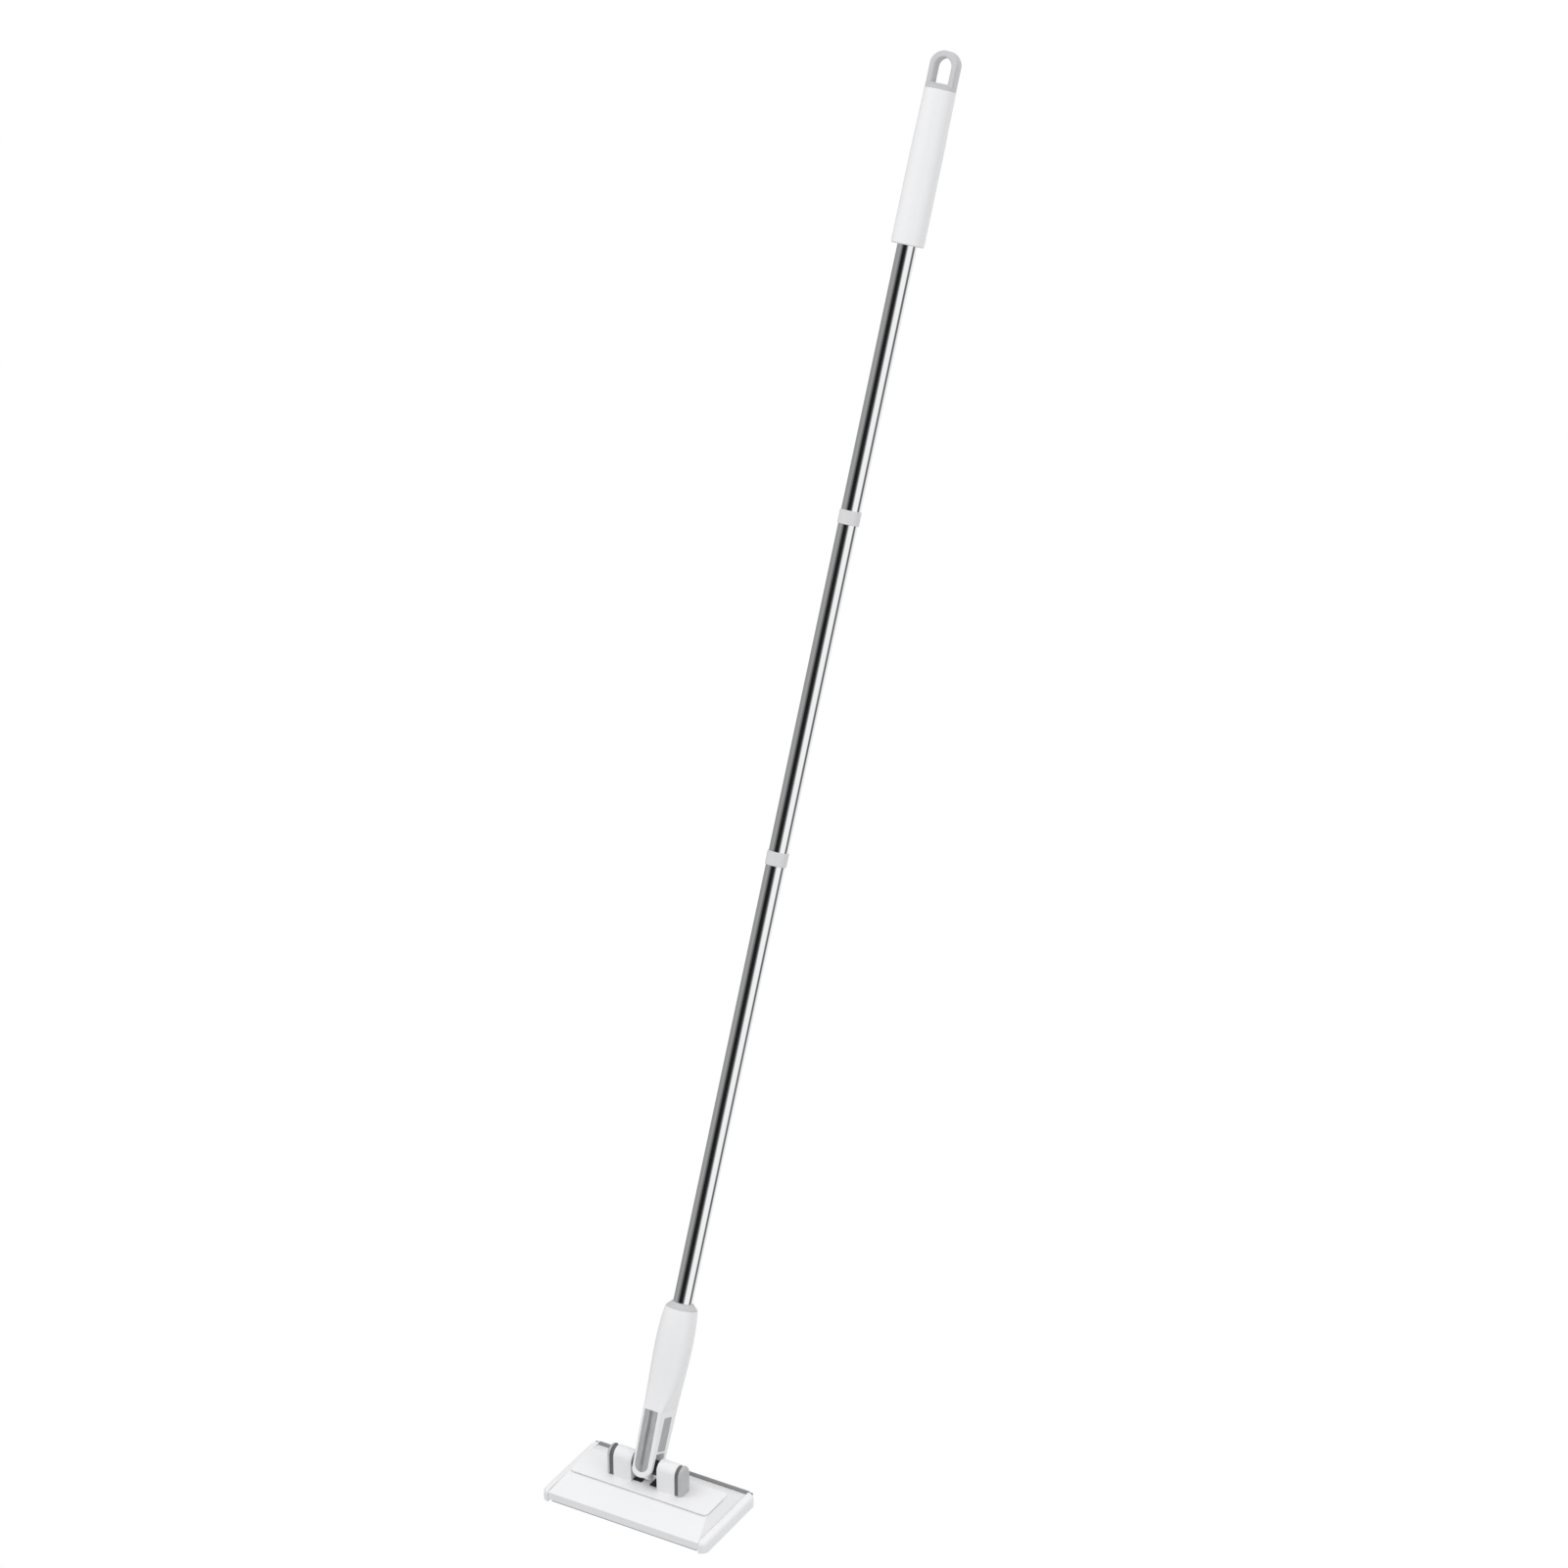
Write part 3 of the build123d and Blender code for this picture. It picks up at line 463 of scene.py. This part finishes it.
# ---------------------------------------------------------------- cloth by geometry nodes
def cloth_tree():
    """A flat ribbed sheet with pinked edges, thickened and folded round a straight-sided base."""
    tree = bpy.data.node_groups.new("ribbed_folded_cloth", "GeometryNodeTree")
    names = ("Length", "Width", "Fold Start", "Fold Radius", "Thickness", "Rib Pitch", "Rib Depth",
             "Tooth Pitch", "Tooth Depth", "Middle Y", "Bottom Z")
    tree.interface.new_socket("Geometry", in_out="OUTPUT", socket_type="NodeSocketGeometry")
    for name in names:
        tree.interface.new_socket(name, in_out="INPUT", socket_type=NUMBER)
    for name in ("Steps Along", "Steps Across"):
        tree.interface.new_socket(name, in_out="INPUT", socket_type="NodeSocketInt")
    tree.interface.new_socket("Material", in_out="INPUT", socket_type="NodeSocketMaterial")
    given = tree.nodes.new("NodeGroupInput").outputs
    final = tree.nodes.new("NodeGroupOutput")
    thickness, radius = given["Thickness"], given["Fold Radius"]

    def maths(operation, *values):
        """The result of a Math node of this tree."""
        return math_node(tree, operation, *values)

    def places():
        """The X, Y and Z of every point, where the tree has them by then."""
        return split(tree, tree.nodes.new("GeometryNodeInputPosition").outputs[0])

    def moved(geometry, position):
        """The geometry with its points at new places."""
        inputs = {"Geometry": geometry, "Position": position}
        return add_node(tree, "GeometryNodeSetPosition", inputs).outputs[0]

    def pinked(along, across, size):
        """One coordinate with the edge's teeth cut in, only near the edge it belongs to."""
        half_pitch = maths("MULTIPLY", given["Tooth Pitch"], 0.5)
        wave = maths("DIVIDE", maths("PINGPONG", across, half_pitch), half_pitch)
        near = maths("SUBTRACT", maths("ABSOLUTE", along), maths("MULTIPLY", size, 0.5))
        near = maths("ADD", maths("DIVIDE", near, PINK_REACH), 1.0)
        near = maths("MAXIMUM", near, 0.0)
        shift = maths("MULTIPLY", maths("MULTIPLY", wave, given["Tooth Depth"]), near)
        return maths("SUBTRACT", along, maths("MULTIPLY", maths("SIGN", along), shift))

    grid = add_node(tree, "GeometryNodeMeshGrid", {
        "Size X": given["Length"], "Size Y": given["Width"],
        "Vertices X": given["Steps Along"], "Vertices Y": given["Steps Across"]})
    x, y, _ = places()
    cut = moved(grid.outputs["Mesh"], joined(
        tree, pinked(x, y, given["Length"]), pinked(y, x, given["Width"])))

    wave = maths("MULTIPLY", maths("DIVIDE", y, given["Rib Pitch"]), 2.0 * math.pi)
    crest = maths("MULTIPLY_ADD", maths("COSINE", wave), 0.5, 0.5)
    ribbed = add_node(tree, "GeometryNodeStoreNamedAttribute", {
        "Geometry": cut, "Name": RIB_HEIGHT, "Value": maths("POWER", crest, CREST_POWER)},
        data_type="FLOAT", domain="POINT").outputs[0]

    thick = add_node(tree, "GeometryNodeExtrudeMesh", {
        "Mesh": ribbed, "Offset": joined(tree, z=maths("MULTIPLY", thickness, -1.0)),
        "Offset Scale": 1.0, "Individual": False}, mode="FACES")
    both = tree.nodes.new("GeometryNodeJoinGeometry")
    for side in (thick.outputs["Mesh"], ribbed):
        tree.links.new(side, both.inputs[0])
    merged = add_node(tree, "GeometryNodeMergeByDistance", {
        "Geometry": both.outputs[0], "Distance": WELD})

    x, y, z = places()
    height = add_node(tree, "GeometryNodeInputNamedAttribute", {"Name": RIB_HEIGHT},
                      data_type="FLOAT")
    valley = maths("SUBTRACT", 1.0, height.outputs["Attribute"])
    dip = maths("MULTIPLY", valley, given["Rib Depth"])
    depth = maths("MULTIPLY", z, -1.0)
    outer = maths("GREATER_THAN", depth, maths("MULTIPLY", thickness, 0.5))
    depth = maths("SUBTRACT", depth, maths("MULTIPLY", outer, dip))
    reach = maths("ABSOLUTE", y)
    beyond = maths("SUBTRACT", reach, given["Fold Start"])
    turn = maths("DIVIDE", maths("MAXIMUM", beyond, 0.0), radius)
    turn = maths("MINIMUM", turn, math.pi / 2)
    arm = maths("ADD", radius, depth)
    arc = maths("MULTIPLY", radius, math.pi / 2)
    rise = maths("MAXIMUM", maths("SUBTRACT", beyond, arc), 0.0)
    out = maths("MINIMUM", reach, given["Fold Start"])
    out = maths("MULTIPLY_ADD", arm, maths("SINE", turn), out)
    out = maths("MULTIPLY", out, maths("SIGN", y))
    up = maths("SUBTRACT", radius, maths("MULTIPLY", arm, maths("COSINE", turn)))
    up = maths("ADD", maths("ADD", up, rise), given["Bottom Z"])
    bent = moved(merged.outputs[0], joined(
        tree, x, maths("ADD", out, given["Middle Y"]), maths("ADD", up, thickness)))

    smooth = add_node(tree, "GeometryNodeSetShadeSmooth", {0: bent})
    realized = add_node(tree, "GeometryNodeRealizeInstances", {"Geometry": smooth.outputs[0]})
    painted = add_node(tree, "GeometryNodeSetMaterial", {
        "Geometry": realized.outputs[0], "Material": given["Material"]})
    tree.links.new(painted.outputs[0], final.inputs[0])
    return tree


def grow(name, tree, values):
    """Run a geometry tree with named values and keep its result as a plain mesh."""
    carrier = bpy.data.objects.new(name + "_carrier", bpy.data.meshes.new(name + "_carrier"))
    bpy.context.scene.collection.objects.link(carrier)
    modifier = carrier.modifiers.new("tree", "NODES")
    modifier.node_group = tree
    for item in tree.interface.items_tree:
        if item.in_out == "INPUT" and item.name in values:
            modifier[item.identifier] = values[item.name]
    bpy.context.view_layer.update()
    evaluated = carrier.evaluated_get(bpy.context.evaluated_depsgraph_get())
    mesh = bpy.data.meshes.new_from_object(evaluated)
    bpy.data.objects.remove(carrier)
    mesh.name = name
    piece = bpy.data.objects.new(name, mesh)
    bpy.context.scene.collection.objects.link(piece)
    return piece


def recalculated(piece):
    """Turn every face of a closed piece outwards."""
    work = bmesh.new()
    work.from_mesh(piece.data)
    bmesh.ops.recalc_face_normals(work, faces=work.faces)
    work.to_mesh(piece.data)
    work.free()


# ---------------------------------------------------------------- operators
class MopOperator:
    """What the mop's operators share."""
    bl_options = {"REGISTER", "UNDO"}

    def finishes(self, context):
        """The colours and gloss."""
        return context.scene.mop_finishes


class MOP_OT_white_pieces(MopOperator, Operator):
    """Give the grip, yoke, knuckle, cover, panel, blocks and base their white plastic"""
    bl_idname = "mop.white_pieces"
    bl_label = "White mouldings"

    def execute(self, context):
        """Dress the white pieces."""
        finish = self.finishes(context)
        group = shared_group("moulded_surface", moulding_group)
        white = plastic("white_plastic", group, finish.white, finish.white_gloss, WHITE_MOTTLE)
        dress(WHITE_PIECES, white)
        dress(("centre_panel",), panel_plastic(group, finish.white, finish.white_gloss))
        return {"FINISHED"}


class MOP_OT_grey_pieces(MopOperator, Operator):
    """Give the loop, collar, rings, inlays, end caps, rubber and hinge rod their greys and black"""
    bl_idname = "mop.grey_pieces"
    bl_label = "Grey mouldings"

    def execute(self, context):
        """Dress the grey pieces."""
        finish = self.finishes(context)
        group = shared_group("moulded_surface", moulding_group)
        dress(PALE_PIECES, plastic("pale_grey_plastic", group, finish.pale, roughness=0.38))
        dress(RING_PIECES, plastic("ring_plastic", group, finish.ring, roughness=0.36,
                                   mottle=0.015))
        dress(INLAY_PIECES, inlay_plastic(group, finish.inlay))
        dress(CAP_PIECES, cap_plastic(group, finish.cap))
        dress(RUBBER_PIECES, plastic("dark_rubber", group, finish.rubber, roughness=0.6))
        dress(("hinge_rod",), plastic("hinge_rod_grey", group, finish.rod, roughness=0.4))
        return {"FINISHED"}


class MOP_OT_metal_pieces(MopOperator, Operator):
    """Give the tubes their polish and the pins and screws their ground steel"""
    bl_idname = "mop.metal_pieces"
    bl_label = "Metal pieces"

    def execute(self, context):
        """Dress the metal pieces."""
        finish = self.finishes(context)
        group = shared_group("worked_metal", metal_group)
        dress(TUBE_PIECES, metal("polished_tube", group, finish.tube, finish.tube_gloss,
                                 scale=1500.0, depth=0.02, change=0.03))
        dress(STEEL_PIECES, metal("ground_steel", group, finish.steel, roughness=0.26,
                                  scale=2600.0, depth=0.12, change=0.1))
        return {"FINISHED"}


class MOP_OT_foam_pad(MopOperator, Operator):
    """Make the foam pad under the base, with rounded edges"""
    bl_idname = "mop.foam_pad"
    bl_label = "Foam pad"

    def execute(self, context):
        """Build the pad in the place of its CAD node."""
        settings = context.scene.mop_pad
        low, high = (Vector(corner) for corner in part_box("sole_pad"))
        corners = [(x, y, z) for z in (low.z, high.z) for y in (low.y, high.y)
                   for x in (low.x, high.x)]
        faces = [(0, 2, 3, 1), (4, 5, 7, 6), (0, 1, 5, 4), (2, 6, 7, 3), (0, 4, 6, 2), (1, 3, 7, 5)]
        mesh = bpy.data.meshes.new("foam_pad")
        mesh.from_pydata(corners, [], faces)
        pad = bpy.data.objects.new("foam_pad", mesh)
        context.scene.collection.objects.link(pad)
        bevel = pad.modifiers.new("soft_edges", "BEVEL")
        bevel.width = settings.edge
        bevel.segments = settings.segments
        mesh.materials.append(foam_material(self.finishes(context)))
        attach(pad, BASE)
        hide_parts("sole_pad")
        return {"FINISHED"}


class MOP_OT_wipe_cloth(MopOperator, Operator):
    """Make the ribbed cloth with its pinked edges, folded up round the base"""
    bl_idname = "mop.wipe_cloth"
    bl_label = "Ribbed cloth"

    def execute(self, context):
        """Build the cloth in the place of its CAD node."""
        settings = context.scene.mop_cloth
        low, high = (Vector(corner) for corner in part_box("wipe_cloth"))
        outer = (high.y - low.y) / 2
        radius = settings.fold_radius
        start = outer - settings.thickness - radius
        rise = high.z - low.z - settings.thickness - radius
        width = 2 * (start + radius * math.pi / 2 + rise)
        length_along = high.x - low.x
        cloth = grow("wipe_cloth_sheet", cloth_tree(), {
            "Length": length_along, "Width": width, "Fold Start": start, "Fold Radius": radius,
            "Thickness": settings.thickness, "Rib Pitch": settings.rib_pitch,
            "Rib Depth": settings.rib_depth, "Tooth Pitch": settings.tooth_pitch,
            "Tooth Depth": settings.tooth_depth, "Middle Y": (low.y + high.y) / 2,
            "Bottom Z": low.z, "Steps Along": settings.along, "Steps Across": settings.across,
            "Material": cloth_material(self.finishes(context))})
        recalculated(cloth)
        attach(cloth, BASE)
        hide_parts("wipe_cloth")
        return {"FINISHED"}


class MOP_OT_stage(MopOperator, Operator):
    """Lay the floor, hang the lamps and set the world and the camera"""
    bl_idname = "mop.stage"
    bl_label = "Studio"

    def execute(self, context):
        """Build the studio."""
        studio = context.scene.mop_studio
        self.lay_floor(context, studio)
        self.hang_lamps(context, studio)
        self.set_world(context, studio)
        self.set_camera(context, studio)
        context.scene.view_settings.view_transform = "Standard"
        return {"FINISHED"}

    def lay_floor(self, context, studio):
        """A wide pale floor that lights the head from below and that the camera looks through."""
        corners = [(side * FLOOR_HALF, end * FLOOR_HALF, 0)
                   for side, end in ((-1, -1), (1, -1), (1, 1), (-1, 1))]
        mesh = bpy.data.meshes.new("floor")
        mesh.from_pydata(corners, [], [(0, 1, 2, 3)])
        floor = bpy.data.objects.new("floor", mesh)
        floor.location.z = -FLOOR_DROP
        floor.visible_camera = False
        floor.visible_glossy = False
        context.scene.collection.objects.link(floor)
        material = bpy.data.materials.new("pale_floor")
        material.use_nodes = True
        shader = material.node_tree.nodes["Principled BSDF"]
        shader.inputs["Base Color"].default_value = rgba(studio.floor_colour)
        shader.inputs["Roughness"].default_value = 0.9
        shader.inputs["Specular IOR Level"].default_value = 0.1
        mesh.materials.append(material)

    def hang_lamps(self, context, studio):
        """A large soft lamp up on the left and a weaker one on the right."""
        lamps = (("key_lamp", studio.key_power, 2.4, (-1.5, -1.3, 3.4)),
                 ("fill_lamp", studio.fill_power, 1.8, (2.6, -0.6, 1.6)))
        for name, power, size, place in lamps:
            data = bpy.data.lights.new(name, "AREA")
            data.energy = power
            data.size = size
            lamp = bpy.data.objects.new(name, data)
            lamp.location = place
            lamp.visible_glossy = False
            aim = Vector(LAMP_AIM) - Vector(place)
            lamp.rotation_euler = aim.to_track_quat("-Z", "Y").to_euler()
            context.scene.collection.objects.link(lamp)

    def set_world(self, context, studio):
        """White to the camera; soft boxes and dark gaps round the room for what is polished."""
        world = bpy.data.worlds.new("studio_world")
        context.scene.world = world
        world.use_nodes = True
        tree = world.node_tree
        rays = tree.nodes.new("ShaderNodeLightPath").outputs
        room = tree.nodes.new("ShaderNodeTexCoord")
        x, y, z = split(tree, room.outputs["Generated"])
        around = math_node(tree, "ARCTAN2", x, math_node(tree, "MULTIPLY", y, -1.0))
        turn = math_node(tree, "MULTIPLY_ADD", around, 1.0 / (2.0 * math.pi), 0.5)
        ramp = add_node(tree, "ShaderNodeValToRGB", {"Fac": turn})
        elements = ramp.color_ramp.elements
        while len(elements) < len(ROOM_STOPS):
            elements.new(0.5)
        for element, (degrees, level) in zip(elements, ROOM_STOPS):
            element.position = degrees / 360.0 + 0.5
            element.color = (level, level, level, 1.0)
        polished = add_node(tree, "ShaderNodeBackground", {"Color": ramp.outputs["Color"]})
        rise = math_node(tree, "MULTIPLY_ADD", z, WORLD_RISE, 1.0)
        even = add_node(tree, "ShaderNodeBackground", {
            "Color": WHITE, "Strength": math_node(tree, "MULTIPLY", rise, studio.world_level)})
        white = tree.nodes["Background"]
        white.inputs["Color"].default_value = WHITE
        seen = math_node(tree, "MAXIMUM", rays["Is Camera Ray"], rays["Is Transmission Ray"])
        plain = add_node(tree, "ShaderNodeMixShader", {
            "Fac": seen, 1: even.outputs[0], 2: white.outputs[0]})
        whole = add_node(tree, "ShaderNodeMixShader", {
            "Fac": rays["Is Glossy Ray"], 1: plain.outputs[0], 2: polished.outputs[0]})
        feed(tree, whole.outputs[0], tree.nodes["World Output"].inputs["Surface"])

    def set_camera(self, context, studio):
        """The camera in front, to the right and above."""
        data = bpy.data.cameras.new("camera")
        data.lens = studio.camera_lens
        data.sensor_width = SENSOR_WIDTH
        data.clip_end = VIEW_END
        camera = bpy.data.objects.new("camera", data)
        camera.location = studio.camera_place
        camera.rotation_euler = (math.pi / 2 - studio.camera_drop, 0.0, studio.camera_turn)
        context.scene.collection.objects.link(camera)
        context.scene.camera = camera


class MOP_PT_sidebar(Panel):
    """The mop's steps in the sidebar"""
    bl_idname = "MOP_PT_sidebar"
    bl_label = "Flat mop"
    bl_space_type = "VIEW_3D"
    bl_region_type = "UI"
    bl_category = "Flat mop"

    def draw(self, context):
        """List the operators and the settings."""
        for step in STEPS:
            self.layout.operator(step.bl_idname)
        for name, group in SETTINGS:
            box = self.layout.box()
            values = getattr(context.scene, name)
            for key in group.__annotations__:
                box.prop(values, key)


SETTINGS = (("mop_finishes", MopFinishes), ("mop_cloth", MopCloth), ("mop_pad", MopPad),
            ("mop_studio", MopStudio))
STEPS = (MOP_OT_white_pieces, MOP_OT_grey_pieces, MOP_OT_metal_pieces, MOP_OT_foam_pad,
         MOP_OT_wipe_cloth, MOP_OT_stage)


def register():
    """Register the classes and hang the settings on the scene."""
    for name, group in SETTINGS:
        bpy.utils.register_class(group)
        setattr(bpy.types.Scene, name, PointerProperty(type=group))
    for item in STEPS + (MOP_PT_sidebar,):
        bpy.utils.register_class(item)


def unregister():
    """Take the classes and settings away again."""
    for item in reversed(STEPS + (MOP_PT_sidebar,)):
        bpy.utils.unregister_class(item)
    for name, group in reversed(SETTINGS):
        delattr(bpy.types.Scene, name)
        bpy.utils.unregister_class(group)


def main():
    """Register and run every step in order."""
    register()
    bpy.ops.mop.white_pieces()
    bpy.ops.mop.grey_pieces()
    bpy.ops.mop.metal_pieces()
    bpy.ops.mop.foam_pad()
    bpy.ops.mop.wipe_cloth()
    bpy.ops.mop.stage()


if __name__ == "__main__":
    main()
